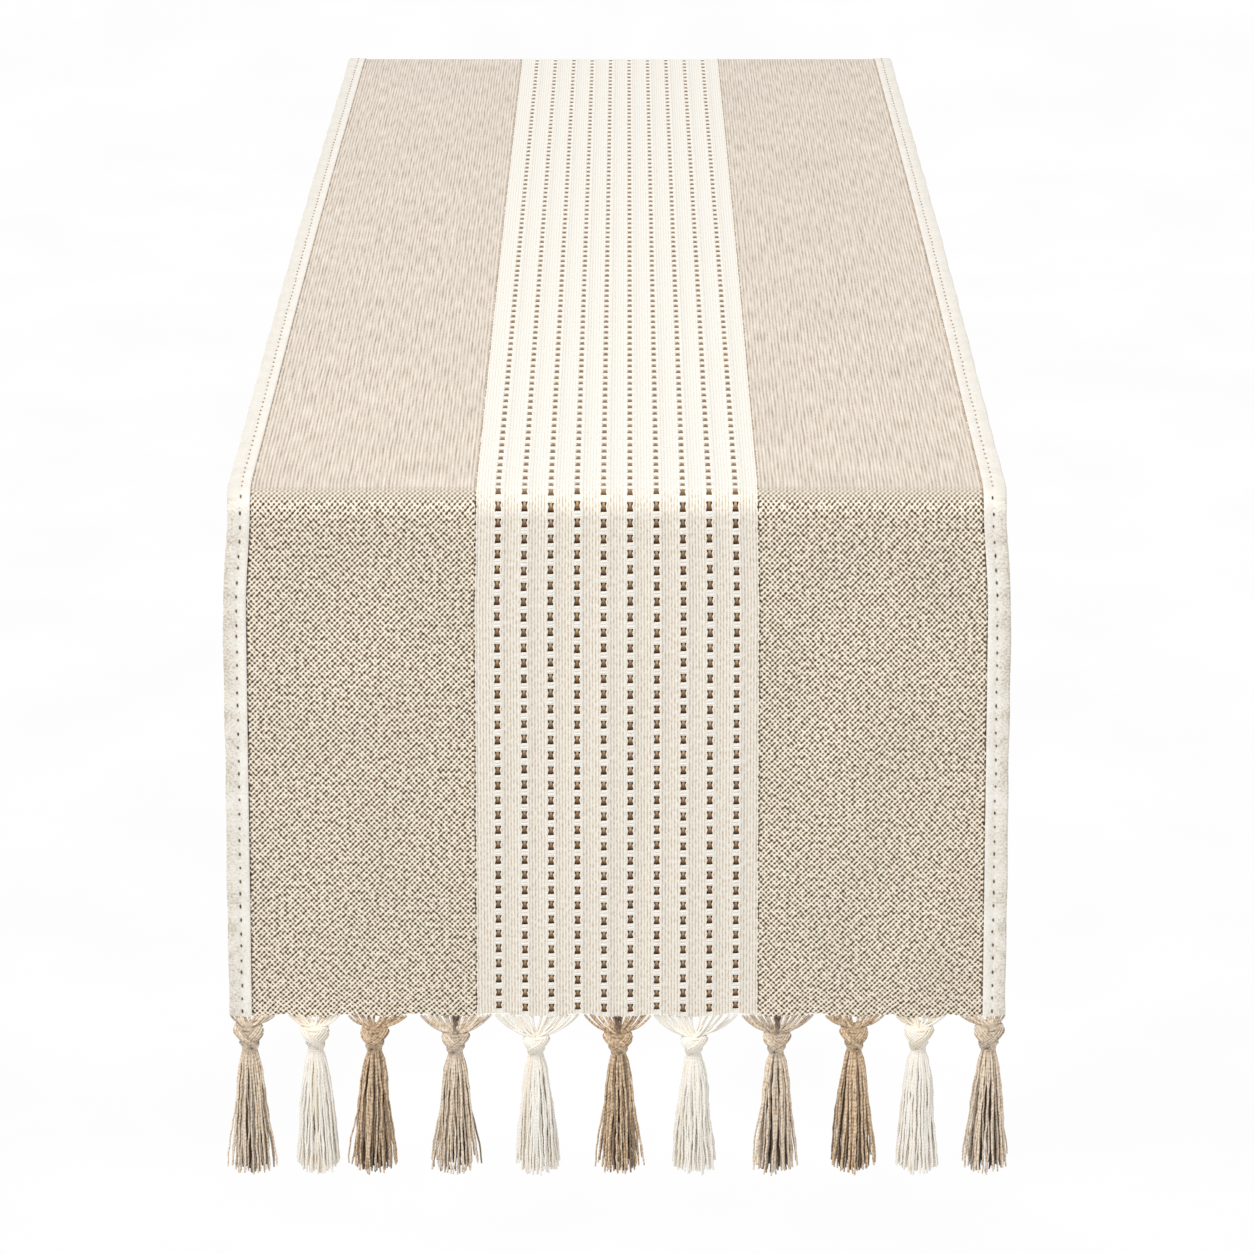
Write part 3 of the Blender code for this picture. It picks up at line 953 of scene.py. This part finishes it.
def ladder_material():
    """Brown twisted cotton behind the holes, with light and shade painted on it: a painted highlight in
    tan where it stands up in the top of a hole, painted shade in the two corners beside that, and a
    near-black painted shadow where it sinks behind the foot of the hole. On the table it keeps only the
    painted highlight."""
    made, tree, shader = new_material("brown_twisted_cotton", 0.9, 0.1)
    vector, (beside, down, hanging) = point_values(tree, "step")
    tone = add(tree, "Attribute", out=2, attribute_name="tone")
    side = add(tree, "Math", {0: beside}, operation="ABSOLUTE")
    smooth = {"interpolation_type": "SMOOTHSTEP"}
    # Painted shade in the top corners of each hole.
    corner = add(tree, "MapRange", {0: side, 1: 0.00030, 2: 0.00068}, **smooth)
    upper = add(tree, "MapRange", {0: down, 1: 0.30, 2: 0.60, 3: 1.0, 4: 0.0}, **smooth)
    strength = add(tree, "MapRange", {0: tone, 3: 0.30, 4: 1.0})
    # Painted highlight where the yarn stands up in the top of a hole.
    lit = add(tree, "Math", {0: upper, 1: strength}, operation="MULTIPLY")
    # Painted shadow at the foot of each hole.
    foot = add(tree, "MapRange", {0: down, 1: 0.55, 2: 0.92}, **smooth)
    twist = add(tree, "TexNoise", {"Vector": vector, "Scale": 14.0, "Detail": 2.0})
    brown = add(tree, "ValToRGB", {0: twist}, ramp=((0.3, "#6b4726"), (0.7, "#a37c50")))
    corner_painted_shade = add(tree, "Math", {0: corner, 1: upper}, operation="MULTIPLY")
    base = mix(tree, lit, brown, colour("#cfae86"))
    base = mix(tree, corner_painted_shade, base, colour("#2f1d10"))
    base = mix(tree, foot, base, colour("#301c0d"))
    # On the table: plain brown with the painted highlight only.
    table_brown_painted_light = mix(tree, lit, colour("#7d6045"), colour("#b09370"))
    base = mix(tree, hanging, table_brown_painted_light, base)
    tree.links.new(base, shader.inputs["Base Color"])
    relief(tree, shader, twist, 0.0002, 0.6)
    return made


def stitch_material():
    """Waxed brown cotton thread, sunk into the cloth: painted much darker on the drop, as painted shade
    of the gaps and stitch holes that it lies in.
    """
    made, tree, shader = new_material("brown_sewing_thread", 0.8, 0.1)
    _, (_, _, hanging) = cloth_coordinates(tree)
    tone = add(tree, "Attribute", out=2, attribute_name="tone")
    # Painted shade: the drop's much darker ramp is shade in the gaps and stitch holes.
    shade = add(tree, "ValToRGB", {0: tone}, ramp=((0.6, "#33251a"), (1.3, "#6f5c46")))
    on_top = add(tree, "ValToRGB", {0: tone}, ramp=((0.6, "#93795b"), (1.3, "#bda68b")))
    tree.links.new(mix(tree, hanging, on_top, shade), shader.inputs["Base Color"])
    return made


def yarn_material(name, light, middle, dark, deep):
    """Two-ply cotton yarn: a soft helical twist every 1.6 mm, with painted shade between its two plies,
    and mixed towards its deep colour where its tone is low: painted shade where a yarn lies inside its
    tassel, and the own colour of a few darker yarns."""
    made, tree, shader = new_material(name, 0.9, 0.25)
    _, (along, cos_round, sin_round) = point_values(tree, "yarn")
    tone = add(tree, "Attribute", out=2, attribute_name="tone")
    turned = add(tree, "Math", {0: along, 1: 2 * math.pi / YARN_TWIST}, operation="MULTIPLY")
    cos = add(tree, "Math", {0: turned}, operation="COSINE")
    sin = add(tree, "Math", {0: turned}, operation="SINE")
    first = add(tree, "Math", {0: cos, 1: cos_round}, operation="MULTIPLY")
    ply = add(tree, "Math", {0: sin, 1: sin_round, 2: first}, operation="MULTIPLY_ADD")
    where = add(tree, "TexCoord", out=3)
    fibre = add(tree, "TexNoise", {"Vector": where, "Scale": 700.0, "Detail": 3.0})
    mixed = add(tree, "Math", {0: ply, 1: 0.10, 2: fibre}, operation="MULTIPLY_ADD")
    # Painted shade between the two plies: the ramp's dark end.
    base = add(tree, "ValToRGB", {0: mixed}, ramp=((0.28, dark), (0.74, light), (0.5, middle)))
    # Low tone mixes towards deep: painted shade for inner yarns, under the knot and in the knot's core,
    # and also a few yarns that are darker of their own.
    base = mix(tree, tone, colour(deep), base)
    tree.links.new(base, shader.inputs["Base Color"])
    relief(tree, shader, mixed, 0.0003, 0.6)
    return made


def floor_material():
    """White seamless paper, lit so strongly that it looks evenly white."""
    made, tree, shader = new_material("white_lit_floor", 0.95)
    where = add(tree, "TexCoord", out=3)
    grain = add(tree, "TexNoise", {"Vector": where, "Scale": 3.0, "Detail": 2.0})
    base = add(tree, "ValToRGB", {0: grain}, ramp=((0.3, "#fdfdfd"), (0.7, "#ffffff")))
    tree.links.new(base, shader.inputs["Emission Color"])
    shader.inputs["Base Color"].default_value = colour("#000000")
    shader.inputs["Specular IOR Level"].default_value = 0.0
    shader.inputs["Emission Strength"].default_value = 1.0
    return made


# ---------------------------------------------------------------- the set


def camera():
    """Looks along the runner from in front of the near drop, a little above the table."""
    data = bpy.data.cameras.new("camera")
    data.sensor_width = 36.0
    data.lens = 120.57
    data.shift_y = -0.15
    eye = bpy.data.objects.new("camera", data)
    eye.location = (0.0039, -1.913, 0.518)
    eye.rotation_euler = (math.radians(90 - 17.9), 0, 0)
    bpy.context.scene.collection.objects.link(eye)
    bpy.context.scene.camera = eye


def lights():
    """Even light from all round, and one large softbox high at the front left."""
    world = bpy.data.worlds.new("studio")
    world.use_nodes = True
    sky = world.node_tree.nodes["Background"]
    sky.inputs[0].default_value = colour("#fffefc")
    sky.inputs[1].default_value = 0.70
    bpy.context.scene.world = world
    data = bpy.data.lights.new("key_softbox", "AREA")
    data.size = 2.0
    data.energy = 86.0
    lamp = bpy.data.objects.new("key_softbox", data)
    toward = np.array([-0.35, -0.55, 0.85])
    toward *= 4.0 / np.linalg.norm(toward)
    lamp.location = toward
    flat = math.hypot(toward[0], toward[1])
    lamp.rotation_euler = (math.atan2(flat, toward[2]), 0, math.atan2(toward[0], -toward[1]))
    bpy.context.scene.collection.objects.link(lamp)


def floor():
    """A wide floor well below the cloth, swept up all round."""
    shape = Shape()
    turns = np.linspace(0.2, 1.5, 8)
    wall = FLOOR_RADIUS + FLOOR_SWEEP + 0.2
    radii = np.concatenate([[1.0, 5.0], FLOOR_RADIUS + FLOOR_SWEEP * np.sin(turns), [wall]])
    rise = FLOOR_SWEEP - FLOOR_SWEEP * np.cos(turns)
    heights = np.concatenate([[0.0, 0.0], rise, [WALL_TOP]]) + FLOOR_Z
    points = []
    for radius, height in zip(radii, heights):
        for turn in np.linspace(0, 2 * math.pi, FLOOR_SIDES, endpoint=False):
            points.append((radius * math.cos(turn), radius * math.sin(turn), height))
    shape.add(points, ring_faces(len(radii), FLOOR_SIDES)[:-1])
    backdrop = shape.object("studio_floor", floor_material())
    backdrop.visible_diffuse = False
    backdrop.visible_shadow = False


# ---------------------------------------------------------------- the runner


def bend_with_fold(piece, end):
    """Bakes the piece's transform into its mesh. It works out where the fold starts and stops but uses
    neither, as drape() has already laid the piece over the table and down the drop.
    """
    side = ENDS[end]
    start, stop = drape([(0, LEVEL, 0), (0, LEVEL + BEND, 0)], side)
    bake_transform(piece)


def half_cloth(end):
    """All five strips of one half, and what is sewn into them."""
    strips = {strip: linen_panel(end, strip) for strip in STRIPS if "linen" in strip}
    strips["openwork_centre"] = openwork_panel(end)
    strips.update({strip: edge_band(end, strip) for strip in STRIPS if "band" in strip})
    trims = {
        "openwork_centre": [ladder_bars(end), ladder_yarns(end)],
        "linen_left": [seam_stitches(end)],
        "edge_band_left": [band_stitches(end)],
    }
    for strip in STRIPS:
        piece = strips[strip]
        for part in [piece] + trims.get(strip, []):
            bend_with_fold(part, end)
        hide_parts(f"top_{strip}", f"{end}_drop_{strip}")


TASSELS = tassel_middles()
MATERIALS = {
    "linen": linen_material(),
    "cotton": cotton_material(),
    "band": band_material(),
    "bar": bar_material(),
    "ladder": ladder_material(),
    "stitch": stitch_material(),
    "cream_yarn": yarn_material("cream_cotton_yarn", "#fffefa", "#fffcf5", "#fcf5e9", "#f6e9d4"),
    "beige_yarn": yarn_material("beige_cotton_yarn", "#fff6e6", "#f6e3cb", "#d1b594", "#44280f"),
    "taupe_yarn": yarn_material("taupe_cotton_yarn", "#fee9cd", "#e5c8a4", "#b29069", "#4c2d12"),
}

bpy.context.scene.view_settings.view_transform = "Standard"
camera()
lights()
floor()
for end in ENDS:
    half_cloth(end)
for joint in frame["joints"]:
    if "tassel" in joint["name"]:
        end, _, number, _ = joint["name"].split("_")
        tassel(end, int(number), joint)

bpy.context.view_layer.update()
